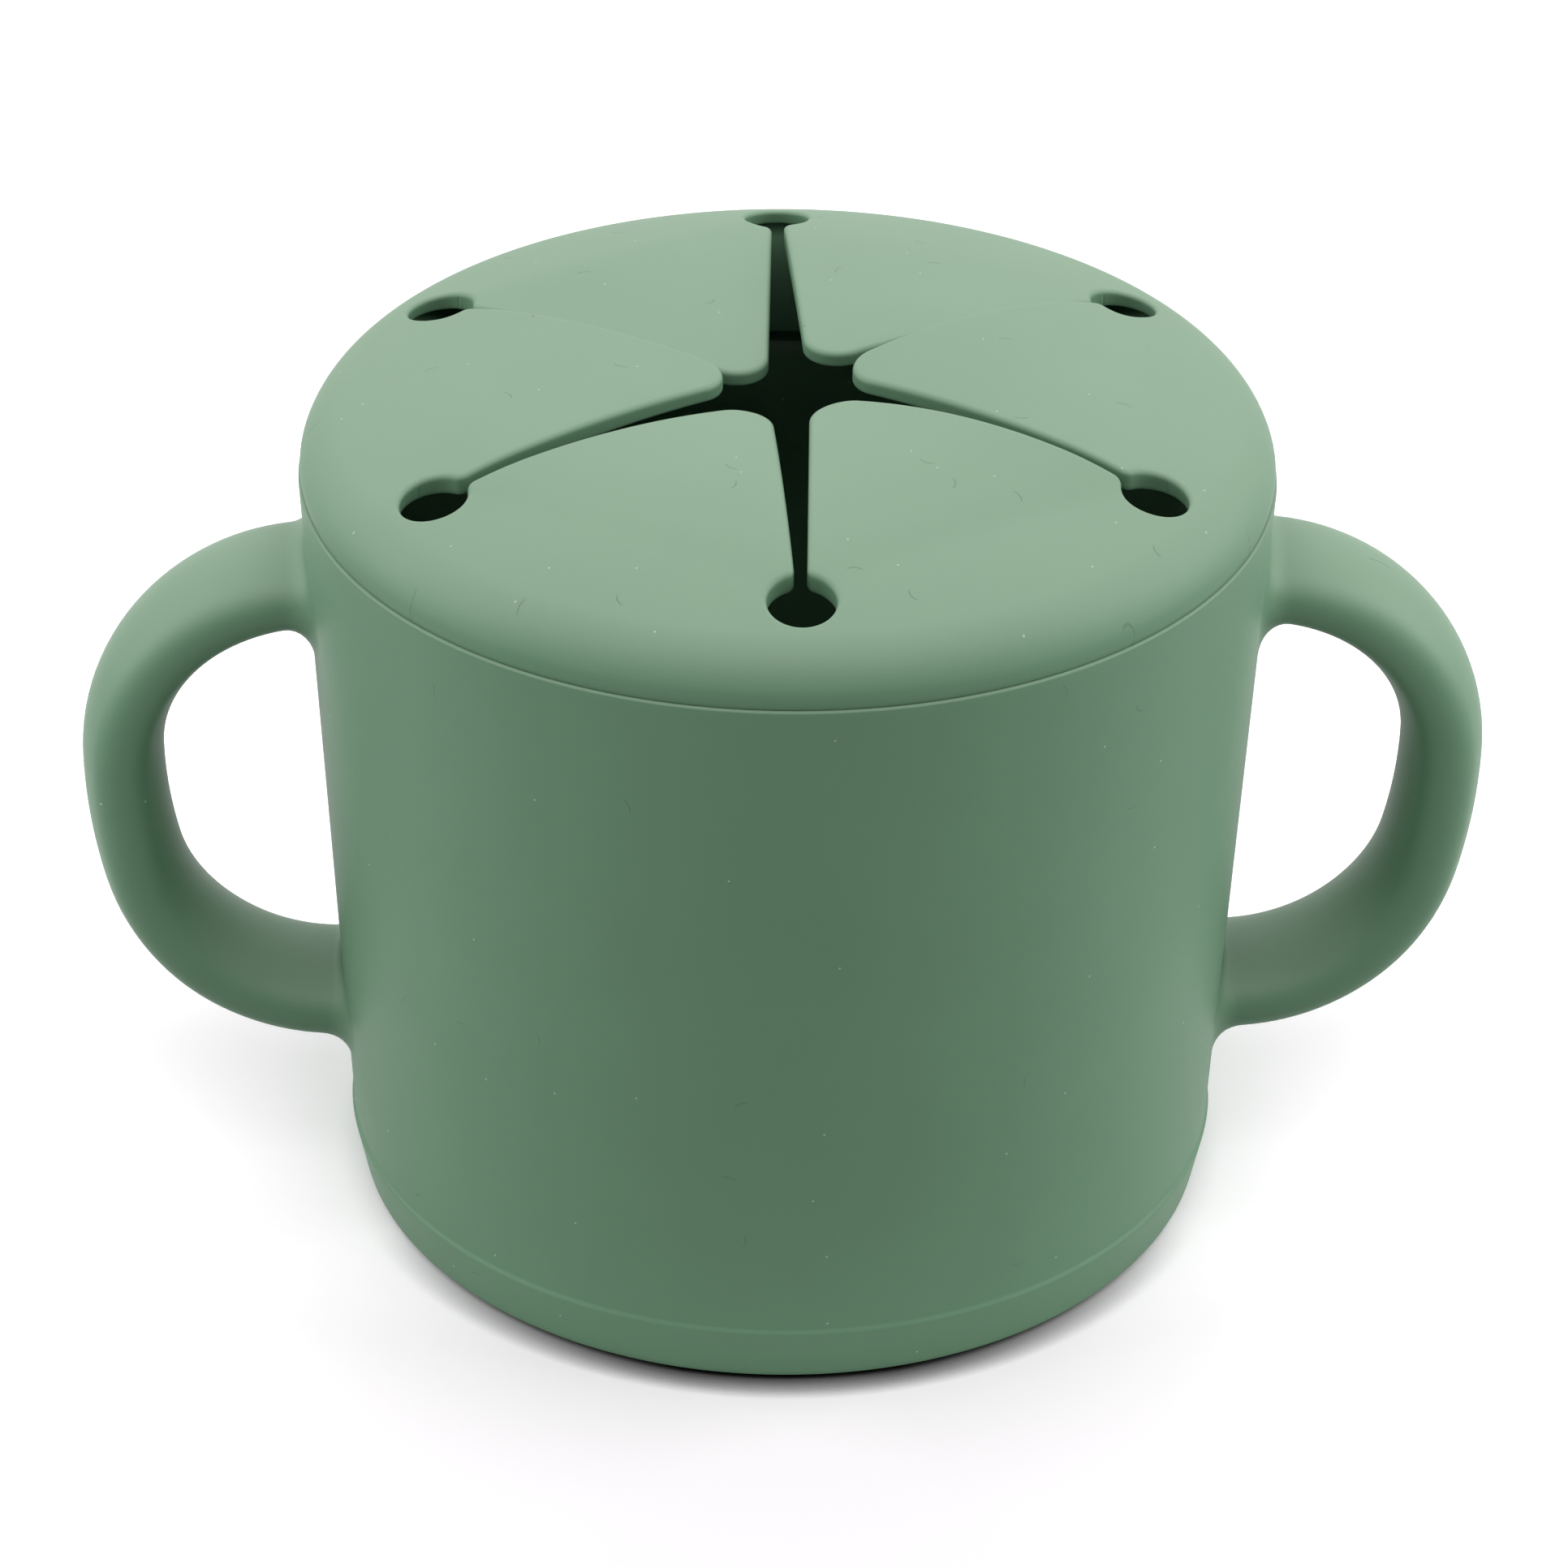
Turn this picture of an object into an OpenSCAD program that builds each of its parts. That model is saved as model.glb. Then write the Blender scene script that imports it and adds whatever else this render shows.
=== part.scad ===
// Toddler snack cup: a two-handled silicone cup with a push-in lid.
// The lid's dome is cut into six flaps that bend inwards for a small hand.
// Millimetres, +Z up. The origin is the middle of the base, and the handles lie along X.

/* [Cup] */
// Height of the rim that the lid seats on
rim_z = 74.8; // [60:0.2:95]
// Outer radius at the rim
rim_r = 45; // [40:0.5:52]
// Outer radius at the parting line above the foot
heel_r = 41.6; // [37:0.2:45]
// Height of the parting line above the base
heel_z = 6; // [4:0.5:10]
// Outer radius that the foot tapers to at the base
foot_r = 40.6; // [36:0.2:43]
// Rounding of the base edge
foot_round = 1.6; // [0.8:0.2:3]
// Step of the parting line between wall and foot
parting_step = 0.12; // [0.05:0.01:0.3]
// Thickness of the side wall
wall_t = 3; // [2.4:0.1:4]
// Thickness of the floor
floor_t = 4; // [3:0.5:6]
// Rounding between floor and wall inside
floor_round = 7; // [3:0.5:12]
// Wall left round the mouth, outside the lid's plug
mouth_wall = 3; // [2.2:0.1:4]
// Depth of the straight mouth that takes the plug
mouth_depth = 9; // [8:0.5:14]

/* [Handles] */
// Distance from the cup's axis to the outermost point of a handle's centre line
handle_reach = 62.4; // [58:0.5:70]
// Height of the centre line where the upper end meets the wall
handle_top_z = 63.3; // [56:0.1:66]
// Height of the outermost point of the centre line
grip_z = 44.6; // [38:0.2:48]
// Height of the centre line where the lower end meets the wall
handle_low_z = 18.3; // [14:0.1:24]
// Width of the handle across, along Y
handle_w = 14.6; // [10:0.1:18]
// Thickness of the handle from finger side to outside
handle_t = 7.6; // [5:0.1:9]
// Bend radius of the lower corner, on the centre line
corner_round = 18.8; // [12:0.2:22]
// Turn of the long lower sweep before the corner, in degrees
sweep_turn = 13; // [8:1:30]
// Rounding of the handle's two side edges
grip_edge_r = 2.8; // [1.5:0.1:3.4]
// Fillet where the handle's roots flare into the wall
flare_r = 3.2; // [1.5:0.1:4]

/* [Lid] */
// Rise of the lid's crown above the rim
dome_h = 9.7; // [8.6:0.1:11]
// Radius of the nearly flat crown
crown_round = 300; // [220:10:500]
// Radius of the haunch, where the dome turns down
haunch_round = 60; // [50:1:75]
// Radius of the lid's outer edge
shoulder_round = 6; // [5:0.2:7.5]
// Length of the plug below the rim
plug_len = 7.5; // [5:0.5:7.8]
// Wall of the plug
plug_t = 1.3; // [1:0.1:1.6]
// Radius of the sealing ribs round the plug
rib_r = 0.5; // [0.3:0.05:0.6]
// Clearance between the sealing ribs and the mouth
seal_gap = 0.06; // [0.03:0.01:0.1]

/* [Flaps] */
// Radius of the circle that the relief holes lie on
relief_circle_r = 37.1; // [34:0.1:37.4]
// Radius of each relief hole
relief_r = 3.05; // [2:0.05:3.2]
// Width of a slit beside its relief hole
slit_outer_w = 1.1; // [0.8:0.1:2]
// Width of a slit where the flap tips start
slit_inner_w = 3.2; // [2:0.1:4]
// Rounding of a flap's tip
tip_round = 3.2; // [2:0.1:4.5]
// Rounding of a flap's corner beside the relief hole
corner_blend = 1; // [0.5:0.1:1.6]
// Thickness at the middle of the dome
crown_t = 1.4; // [1:0.1:2]
// Thickness at the relief holes
root_t = 1.7; // [1.4:0.1:2.2]
// Clearance round a flap's hinge line
hinge_gap = 0.08; // [0.04:0.01:0.1]

/* [Hidden] */
$fn = 180;
eps = 0.01;
moulded_green = [0.59, 0.70, 0.62];

// Cup wall: one straight taper from the rim down to the parting line
function wall_r(z) = heel_r + (rim_r - heel_r) * (z - heel_z) / (rim_z - heel_z);
mouth_r = rim_r - mouth_wall;
mouth_z = rim_z - mouth_depth;
taper = atan((rim_r - heel_r) / (rim_z - heel_z));
wall_across = wall_t / cos(taper);

// Handle centre line: two straight roots, the upper bend, the lower sweep and the corner
upper_bend_r = handle_top_z - grip_z;
sweep_r = (grip_z - handle_low_z - corner_round * (1 - sin(sweep_turn))) / sin(sweep_turn);
corner_x = handle_reach - sweep_r + (sweep_r - corner_round) * cos(sweep_turn);
corner_z = grip_z - (sweep_r - corner_round) * sin(sweep_turn);
// The straight roots start inside the hollow, which then trims them
root_sunk = 6;
root_x = mouth_r - root_sunk;
// The section is an oval: two flat arcs that touch the rounded edges from outside
grip_edge_y = handle_w / 2 - grip_edge_r;
grip_side_r = (grip_edge_y ^ 2 + (handle_t / 2) ^ 2 - grip_edge_r ^ 2) / (handle_t - 2 * grip_edge_r);
grip_side_x = grip_side_r - handle_t / 2;
grip_touch_y = grip_edge_y * grip_side_r / (grip_side_r - grip_edge_r);

// Flare: one ring sunk in the wall, then rings out from it at these shares of the fillet.
// Every ring outside the wall is thinned a little, so that the last one ends inside the root.
flare_sides = 32;
flare_sunk = 1.4;
flare_sunk_step = 0.04;
flare_steps = [0.05, 0.15, 0.36, 0.66, 1];
flare_thinned = 0.08;
function flare_grow(d) = flare_r - sqrt(flare_r ^ 2 - (flare_r - d) ^ 2);
function flare_ring(z, d, grow) = [
    for (i = [0 : flare_sides - 1])
        let (
            a = 360 * i / flare_sides,
            y = (handle_w / 2 + grow) * cos(a),
            h = (handle_t / 2 + grow) * sin(a)
        )
        [sqrt((wall_r(z + h) + d) ^ 2 - y ^ 2), y, z + h]
];

// Dome: crown, haunch and shoulder arcs that meet without a kink
crown_z = rim_z + dome_h;
shoulder_x = rim_r - shoulder_round;
haunch_reach = haunch_round - shoulder_round;
crown_reach = crown_round - haunch_round;
crown_low = crown_z - crown_round;
// The haunch's centre lies where it touches both the crown and the shoulder
span = norm([shoulder_x, rim_z - crown_low]);
span_tilt = atan2(rim_z - crown_low, shoulder_x);
crown_corner = acos((crown_reach ^ 2 + span ^ 2 - haunch_reach ^ 2) / (2 * crown_reach * span));
crown_end = span_tilt + crown_corner;
haunch_x = crown_reach * cos(crown_end);
haunch_z = crown_low + crown_reach * sin(crown_end);
crown_edge_r = crown_round * cos(crown_end);
shoulder_tilt = atan2(rim_z - haunch_z, shoulder_x - haunch_x);
shoulder_edge_r = shoulder_x + shoulder_round * cos(shoulder_tilt);
function on_arc(r, x, z, round_r) = z + sqrt(round_r ^ 2 - (r - x) ^ 2);
function top_z(r) =
    r < crown_edge_r ? on_arc(r, 0, crown_low, crown_round)
    : r < shoulder_edge_r ? on_arc(r, haunch_x, haunch_z, haunch_round)
    : on_arc(r, shoulder_x, rim_z, shoulder_round);

// Underside: one shallow spherical dish
dish_top = crown_z - crown_t;
dish_drop = dish_top - (top_z(relief_circle_r) - root_t);
dish_round = (relief_circle_r ^ 2 + dish_drop ^ 2) / (2 * dish_drop);
dish_low = dish_top - dish_round;
function under_z(r) = on_arc(r, 0, dish_low, dish_round);

// Plug: it hangs inside the mouth, outside the relief holes.
// Its ribs stand proud by this share of their radius, at these shares of its length.
rib_proud = 0.7;
rib_places = [0.35, 0.75];
rib_reach = mouth_r - seal_gap;
plug_r = rib_reach - rib_r * rib_proud;
plug_bore_r = plug_r - plug_t;

// Flaps: each bends on the chord between two relief holes
flap_count = 6;
half_pitch = 180 / flap_count;
chord_u = relief_circle_r * cos(half_pitch);
chord_v = relief_circle_r * sin(half_pitch);
root_end_r = norm([chord_u, chord_v - relief_r]);
// The round root is a little thicker than the skin is anywhere along the chord
hinge_spare = 0.05;
// The round root ends this far short of the relief hole at each end
root_short = 0.15;
hinge_z = (top_z(chord_u) + under_z(root_end_r)) / 2;
hinge_r = (top_z(chord_u) - under_z(root_end_r)) / 2 + hinge_spare;
// A slit's edge runs from its width near the flap tips to its width at the relief hole
slit_start = 8;
slit_end = relief_circle_r - relief_r;
function slit_edge(r, w) = [
    r * cos(half_pitch) + w / 2 * sin(half_pitch),
    r * sin(half_pitch) - w / 2 * cos(half_pitch)
];
edge_in = slit_edge(slit_start, slit_inner_w);
edge_out = slit_edge(slit_end, slit_outer_w);
edge_tilt = atan2(edge_out.y - edge_in.y, edge_out.x - edge_in.x);
apex_u = edge_in.x - edge_in.y / tan(edge_tilt);
tip_u = apex_u + tip_round / sin(edge_tilt);
// A point at distance s along the slit's edge, moved sideways into the flap by inset
function along_edge(s, inset) = [
    apex_u + s * cos(edge_tilt) + inset * sin(edge_tilt),
    s * sin(edge_tilt) - inset * cos(edge_tilt)
];
// The corner's rounding touches the slit's edge and the relief hole
hole_s = (chord_u - apex_u) * cos(edge_tilt) + chord_v * sin(edge_tilt);
hole_off = (chord_u - apex_u) * sin(edge_tilt) - chord_v * cos(edge_tilt);
corner_s = hole_s - sqrt((relief_r + corner_blend) ^ 2 - (corner_blend - hole_off) ^ 2);
corner_mid = along_edge(corner_s, corner_blend);
corner_on_edge = along_edge(corner_s, 0);
hole_mid = [chord_u, chord_v];
corner_on_hole = hole_mid + (corner_mid - hole_mid) * relief_r / (relief_r + corner_blend);

// A tapered vessel's section from z = 0 up, with a rounded bottom corner
module vessel_section(low_r, high_r, h, corner_r) {
    lean = atan((high_r - low_r) / h);
    reach = corner_r * tan(45 - lean / 2);
    polygon([
        [0, 0],
        [low_r - reach, 0],
        [low_r + reach * sin(lean), reach * cos(lean)],
        [high_r, h],
        [0, h]
    ]);
    translate([low_r - reach, corner_r])
        circle(corner_r);
}

// The cup's outside: foot, parting line and tapered wall
module cup_outside() {
    rotate_extrude() {
        vessel_section(foot_r, heel_r - parting_step, heel_z, foot_round);
        polygon([[0, heel_z], [heel_r, heel_z], [rim_r, rim_z], [0, rim_z]]);
    }
}

// The hollow: straight mouth for the plug, ledge, tapered wall and rounded floor
module cup_hollow() {
    floor_r = wall_r(floor_t) - wall_across;
    ledge_r = wall_r(mouth_z) - wall_across;
    rotate_extrude() {
        translate([0, floor_t])
            vessel_section(floor_r, ledge_r, mouth_z - floor_t, floor_round);
        translate([0, mouth_z - eps])
            square([mouth_r, mouth_depth + 1]);
    }
}

// Oval section of the handle
module grip_section() {
    intersection() {
        translate([-grip_side_x, 0])
            circle(grip_side_r);
        translate([grip_side_x, 0])
            circle(grip_side_r);
        square([handle_t + 1, 2 * grip_touch_y], center = true);
    }
    for (side = [-1, 1])
        translate([0, side * grip_edge_y])
            circle(grip_edge_r, $fn = 64);
}

// One bend of the handle, in the XZ plane about (x, z), from angle a, turning by sweep
module bend(x, z, r, a, sweep) {
    translate([x, 0, z])
        rotate([90, 0, 0])
            rotate([0, 0, a])
                rotate_extrude(angle = sweep)
                    translate([r, 0])
                        grip_section();
}

// A straight root from inside the wall out to the bend that starts at x
module root(x, z) {
    translate([root_x, 0, z])
        rotate([0, 90, 0])
            linear_extrude(x - root_x)
                grip_section();
}

// The fillet round a root that meets the wall at height z
module flare(z) {
    rings = [
        flare_ring(z, -flare_sunk, flare_grow(flare_sunk_step * flare_r)),
        for (step = flare_steps)
            flare_ring(z, step * flare_r, flare_grow(step * flare_r) - flare_thinned)
    ];
    last = len(rings) - 1;
    polyhedron(
        points = [for (ring = rings) each ring],
        faces = [
            [for (i = [flare_sides - 1 : -1 : 0]) i],
            [for (i = [0 : flare_sides - 1]) last * flare_sides + i],
            for (k = [0 : last - 1], i = [0 : flare_sides - 1])
                let (
                    n = (i + 1) % flare_sides,
                    a = k * flare_sides + i,
                    b = k * flare_sides + n
                )
                each [[a, b, b + flare_sides], [a, b + flare_sides, a + flare_sides]]
        ],
        convexity = 4
    );
}

module handle() {
    bend(handle_reach - upper_bend_r, grip_z, upper_bend_r, 0, 90);
    bend(handle_reach - sweep_r, grip_z, sweep_r, -sweep_turn, sweep_turn);
    bend(corner_x, corner_z, corner_round, -90, 90 - sweep_turn);
    root(handle_reach - upper_bend_r, handle_top_z);
    root(corner_x, handle_low_z);
    flare(handle_top_z);
    flare(handle_low_z);
}

module cup() {
    color(moulded_green)
        difference() {
            union() {
                cup_outside();
                handle();
                mirror([1, 0, 0])
                    handle();
            }
            cup_hollow();
        }
}

// Section of the lid's skin and edge above the rim
module dome_section() {
    intersection() {
        translate([0, crown_low])
            circle(crown_round, $fn = 720);
        translate([0, rim_z])
            square([crown_edge_r, dome_h + 1]);
    }
    intersection() {
        translate([haunch_x, haunch_z])
            circle(haunch_round, $fn = 360);
        translate([crown_edge_r, rim_z])
            square([shoulder_edge_r - crown_edge_r, dome_h]);
    }
    intersection() {
        translate([shoulder_x, rim_z])
            circle(shoulder_round);
        translate([shoulder_edge_r, rim_z])
            square([shoulder_round, dome_h]);
    }
}

// The plug with its two sealing ribs
module plug_section() {
    translate([plug_bore_r, rim_z - plug_len])
        square([plug_t, plug_len + eps]);
    for (place = rib_places)
        translate([rib_reach - rib_r, rim_z - place * plug_len])
            circle(rib_r, $fn = 48);
}

// The hollow below the dome, inside the plug
module dish_section() {
    intersection() {
        translate([0, dish_low])
            circle(dish_round, $fn = 720);
        translate([0, rim_z - plug_len - 1])
            square([plug_bore_r, dome_h + plug_len + 1]);
    }
}

module lid_skin() {
    rotate_extrude()
        difference() {
            union() {
                dome_section();
                plug_section();
            }
            dish_section();
        }
}

module relief_holes() {
    for (i = [0 : flap_count - 1])
        rotate([0, 0, half_pitch + i * 2 * half_pitch])
            translate([relief_circle_r, 0, rim_z])
                cylinder(r = relief_r, h = 2 * dome_h, $fn = 96);
}

// A straight bar along a flap's hinge line, with the section drawn about that line
module along_hinge(length) {
    translate([chord_u, 0, hinge_z])
        rotate([90, 0, 0])
            linear_extrude(length, center = true)
                children();
}

// The groove that a flap's round root turns in: half round above, open below
module hinge_groove() {
    groove_r = hinge_r + hinge_gap;
    along_hinge(2 * chord_v) {
        circle(groove_r, $fn = 96);
        translate([-groove_r, rim_z - hinge_z])
            square([2 * groove_r, hinge_z - rim_z]);
    }
}

// The lid's skin with its middle and the relief holes cut out
module lid_with_opening() {
    difference() {
        lid_skin();
        rotate([0, 0, half_pitch])
            translate([0, 0, rim_z])
                cylinder(r = chord_u / cos(half_pitch), h = 2 * dome_h, $fn = flap_count);
        relief_holes();
    }
}

module lid_ring() {
    color(moulded_green)
        difference() {
            lid_with_opening();
            for (i = [0 : flap_count - 1])
                rotate([0, 0, i * 2 * half_pitch])
                    hinge_groove();
        }
}

function mirrored(p) = [p.x, -p.y];

// A flap's outline from its rounded tip to the hinge line and the relief holes
module flap_outline() {
    tip_end = along_edge(tip_round / tan(edge_tilt), 0);
    hole_end = along_edge(hole_s, 0);
    difference() {
        union() {
            translate([tip_u, 0])
                circle(tip_round, $fn = 96);
            polygon([
                [tip_u, 0], tip_end, hole_end, hole_mid,
                mirrored(hole_mid), mirrored(hole_end), mirrored(tip_end)
            ]);
        }
        flap_corner();
        mirror([0, 1])
            flap_corner();
    }
}

// The relief hole beside a flap, and the rounding of the flap's corner
module flap_corner() {
    sharp_corner();
    translate(hole_mid)
        circle(relief_r, $fn = 96);
}

// What the rounding takes off a flap's corner beside the relief hole
module sharp_corner() {
    difference() {
        polygon([
            corner_mid,
            corner_on_edge,
            along_edge(hole_s, -corner_blend),
            hole_mid,
            corner_on_hole
        ]);
        translate(corner_mid)
            circle(corner_blend, $fn = 48);
    }
}

// The slice of the skin that a flap is made of
module flap(i) {
    color(moulded_green)
        rotate([0, 0, i * 2 * half_pitch])
            intersection() {
                lid_skin();
                union() {
                    translate([0, 0, rim_z])
                        linear_extrude(2 * dome_h)
                            flap_outline();
                    along_hinge(2 * (chord_v - relief_r - root_short))
                        circle(hinge_r, $fn = 96);
                }
            }
}

cup();
lid_ring();
flap(0);  // flap_right
flap(1);  // flap_back_right
flap(2);  // flap_back_left
flap(3);  // flap_left
flap(4);  // flap_front_left
flap(5);  // flap_front_right
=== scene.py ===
import math

import bmesh
import bpy
import numpy as np
from mathutils import Matrix, Vector


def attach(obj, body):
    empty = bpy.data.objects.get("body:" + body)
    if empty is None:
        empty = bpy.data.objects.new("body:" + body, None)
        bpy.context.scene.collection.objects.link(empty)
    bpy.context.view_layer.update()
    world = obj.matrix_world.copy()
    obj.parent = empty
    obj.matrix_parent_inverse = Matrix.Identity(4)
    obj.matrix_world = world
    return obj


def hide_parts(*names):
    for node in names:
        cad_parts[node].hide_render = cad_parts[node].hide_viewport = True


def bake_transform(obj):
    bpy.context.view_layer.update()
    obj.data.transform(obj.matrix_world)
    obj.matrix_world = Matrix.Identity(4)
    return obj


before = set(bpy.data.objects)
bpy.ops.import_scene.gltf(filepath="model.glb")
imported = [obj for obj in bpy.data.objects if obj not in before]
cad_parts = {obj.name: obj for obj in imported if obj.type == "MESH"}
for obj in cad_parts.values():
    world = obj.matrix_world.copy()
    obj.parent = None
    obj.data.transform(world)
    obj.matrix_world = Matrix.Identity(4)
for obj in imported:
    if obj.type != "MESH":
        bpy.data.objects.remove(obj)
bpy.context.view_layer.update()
MM = 0.001

# ---------------------------------------------------------------- sizes, in millimetres
RIM_Z, RIM_R = 74.8, 45.0
HEEL_Z, HEEL_R, FOOT_R, FOOT_ROUND = 6.0, 41.6, 40.6, 1.6
WALL_T, FLOOR_T, FLOOR_ROUND = 3.0, 4.0, 7.0
MOUTH_R, MOUTH_Z = 42.0, 65.8
HANDLE_REACH, HANDLE_TOP_Z, GRIP_Z, HANDLE_LOW_Z = 62.4, 63.3, 44.6, 18.3
HANDLE_W, HANDLE_T, GRIP_EDGE_R = 14.6, 7.6, 2.8
CORNER_ROUND, SWEEP_TURN = 18.8, math.radians(13)
DOME_H, CROWN_ROUND, HAUNCH_ROUND, SHOULDER_ROUND = 9.7, 300.0, 60.0, 6.0
PLUG_LEN, PLUG_T, RIB_R, SEAL_GAP = 7.5, 1.3, 0.5, 0.06
RELIEF_CIRCLE_R, RELIEF_R = 37.1, 3.05
SLIT_OUTER_W, SLIT_INNER_W, SLIT_START = 1.1, 3.2, 8.0
TIP_ROUND, CORNER_BLEND = 3.2, 1.0
CROWN_T, ROOT_T = 1.4, 1.7
# Fillets of a handle's root, on its finger side, its flanks and its outer side
TOP_FILLETS, LOW_FILLETS = (3.2, 2.8, 1.6), (1.0, 2.2, 2.6)
# Where the two sealing ribs are, as shares of the plug's length, and how far a rib stands clear of the plug
RIB_PLACES, RIB_CLEAR = (0.35, 0.75), 0.3
# Small roundings of the plug's end and the mouth's inner edge
BREAK_ROUND = 0.3
# Soft edges of the moulding
EDGE_TOP, EDGE_LOW = 0.5, 0.12
RIM_ROUND = 0.22
# The lip over the foot: how far it stands out, how high it flares, and how far under and over the parting
# line its edge reaches
LIP, LIP_H, LIP_UNDER, LIP_OVER = 0.24, 0.5, 0.1, 0.05
# The lid's skirt draws in above the cup's rim, so that the rim's rounded edge shows under it
TUCK, TUCK_H = 0.32, 2.0
# How far outside its chord, the line between its two relief holes, a petal's skin meets the ring's, and how
# far in from there it starts to settle and to bend
SEAM_OUT, SETTLE_IN, BEND_IN = 1.4, 0.3, 0.2
# How far inside its chord a petal's bend ends, and how deep under the skin's top the bend lies
BEND_END_IN, BEND_DEPTH = 2.2, 0.8
# How finely the cup is drawn, and the windows in its wall that the handles grow out of
COLUMNS, GRIP_STEPS = 240, 64
WINDOW_RISE, WINDOW_TURN = 9.0, 11 * 2 * math.pi / COLUMNS
# Radius of the first ring round the middle of the base and of the floor, and the wall's rows below and
# above the windows
MIDDLE_R, LOW_WALL_ROWS, HIGH_WALL_ROWS = 1.5, (7.2, 8.2), (73.4, 74.0)
# Points that are closer than this are one
MERGE_DIST = 0.0005
# How finely a petal's and the ring's edges are drawn
TOP_EDGE_ROWS, LOW_EDGE_ROWS, SIDE_ROWS = 6, 2, (0.25, 0.5, 0.75)
HOLE_STEPS, SEAM_STEPS, RING_HOLE_STEPS = 14, 40, 40


def wall_r(z):
    """Radius of the cup's wall at height z."""
    return HEEL_R + (RIM_R - HEEL_R) * (z - HEEL_Z) / (RIM_Z - HEEL_Z)


# Dome: crown, haunch and shoulder arcs that meet without a kink
CROWN_Z = RIM_Z + DOME_H
SHOULDER_X = RIM_R - SHOULDER_ROUND
CROWN_LOW = CROWN_Z - CROWN_ROUND
_span = math.hypot(SHOULDER_X, RIM_Z - CROWN_LOW)
_reach = CROWN_ROUND - HAUNCH_ROUND
_cos = (_reach**2 + _span**2 - (HAUNCH_ROUND - SHOULDER_ROUND) ** 2) / (2 * _reach * _span)
_end = math.atan2(RIM_Z - CROWN_LOW, SHOULDER_X) + math.acos(_cos)
HAUNCH_X, HAUNCH_Z = _reach * math.cos(_end), CROWN_LOW + _reach * math.sin(_end)
CROWN_EDGE_R = CROWN_ROUND * math.cos(_end)
SHOULDER_TILT = math.atan2(RIM_Z - HAUNCH_Z, SHOULDER_X - HAUNCH_X)
SHOULDER_EDGE_R = SHOULDER_X + SHOULDER_ROUND * math.cos(SHOULDER_TILT)


def top_z(r):
    """Height of the dome's top at radius r, inside the shoulder."""
    r = np.asarray(r, float)
    crown = CROWN_LOW + np.sqrt(CROWN_ROUND**2 - np.minimum(r, CROWN_EDGE_R) ** 2)
    haunch = HAUNCH_Z + np.sqrt(HAUNCH_ROUND**2 - (np.maximum(r, CROWN_EDGE_R) - HAUNCH_X) ** 2)
    return np.where(r < CROWN_EDGE_R, crown, haunch)


DISH_TOP = CROWN_Z - CROWN_T
_drop = DISH_TOP - (float(top_z(RELIEF_CIRCLE_R)) - ROOT_T)
DISH_ROUND = (RELIEF_CIRCLE_R**2 + _drop**2) / (2 * _drop)


def under_z(r):
    """Height of the dome's underside at radius r."""
    return DISH_TOP - DISH_ROUND + np.sqrt(DISH_ROUND**2 - np.asarray(r, float) ** 2)


# Petals: the slit's edge, the rounded tip and the rounded corner beside the relief hole
HALF = math.radians(30)
CHORD_U, CHORD_V = RELIEF_CIRCLE_R * math.cos(HALF), RELIEF_CIRCLE_R * math.sin(HALF)
HOLE = np.array([CHORD_U, CHORD_V])


def slit_edge(r, w):
    """A point of a slit's edge, at radius r where the slit is w wide."""
    x = r * math.cos(HALF) + w / 2 * math.sin(HALF)
    y = r * math.sin(HALF) - w / 2 * math.cos(HALF)
    return np.array([x, y])


EDGE_IN = slit_edge(SLIT_START, SLIT_INNER_W)
EDGE_OUT = slit_edge(RELIEF_CIRCLE_R - RELIEF_R, SLIT_OUTER_W)
EDGE_TILT = math.atan2(EDGE_OUT[1] - EDGE_IN[1], EDGE_OUT[0] - EDGE_IN[0])
APEX = np.array([EDGE_IN[0] - EDGE_IN[1] / math.tan(EDGE_TILT), 0.0])
TIP = np.array([APEX[0] + TIP_ROUND / math.sin(EDGE_TILT), 0.0])
ALONG = np.array([math.cos(EDGE_TILT), math.sin(EDGE_TILT)])
INTO = np.array([math.sin(EDGE_TILT), -math.cos(EDGE_TILT)])
HOLE_S, HOLE_OFF = (HOLE - APEX) @ ALONG, (HOLE - APEX) @ INTO
CORNER_S = HOLE_S - math.sqrt((RELIEF_R + CORNER_BLEND) ** 2 - (CORNER_BLEND - HOLE_OFF) ** 2)
CORNER = APEX + CORNER_S * ALONG + CORNER_BLEND * INTO
# The petals' skin and the ring's skin meet on this line, just outside the bend
SEAM_U = CHORD_U + SEAM_OUT
BEND_START_U, BEND_END_U = SEAM_U - BEND_IN, CHORD_U - BEND_END_IN


# ---------------------------------------------------------------- small mesh tools
def finished(name, bm):
    """The object of a bmesh drawn in millimetres: doubles merged, faces outwards, smooth."""
    bmesh.ops.remove_doubles(bm, verts=bm.verts, dist=MERGE_DIST)
    bmesh.ops.recalc_face_normals(bm, faces=bm.faces)
    bmesh.ops.scale(bm, vec=(MM, MM, MM), verts=bm.verts)
    mesh = bpy.data.meshes.new(name)
    bm.to_mesh(mesh)
    bm.free()
    mesh.shade_smooth()
    ob = bpy.data.objects.new(name, mesh)
    bpy.context.scene.collection.objects.link(ob)
    return ob


def moved(loop, places):
    """The vertices of a loop, each moved to its place."""
    for vertex, place in zip(loop, places):
        vertex.co = place
    return loop


def grown(bm, loop, places):
    """Extrudes a closed loop of vertices and moves the new ones to their places."""
    edges = [bm.edges.get(pair) for pair in zip(loop, loop[1:] + loop[:1])]
    made = set(bmesh.ops.extrude_edge_only(bm, edges=edges)["geom"])
    new = [next(e.other_vert(v) for e in v.link_edges if e.other_vert(v) in made) for v in loop]
    return moved(new, places)


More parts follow.
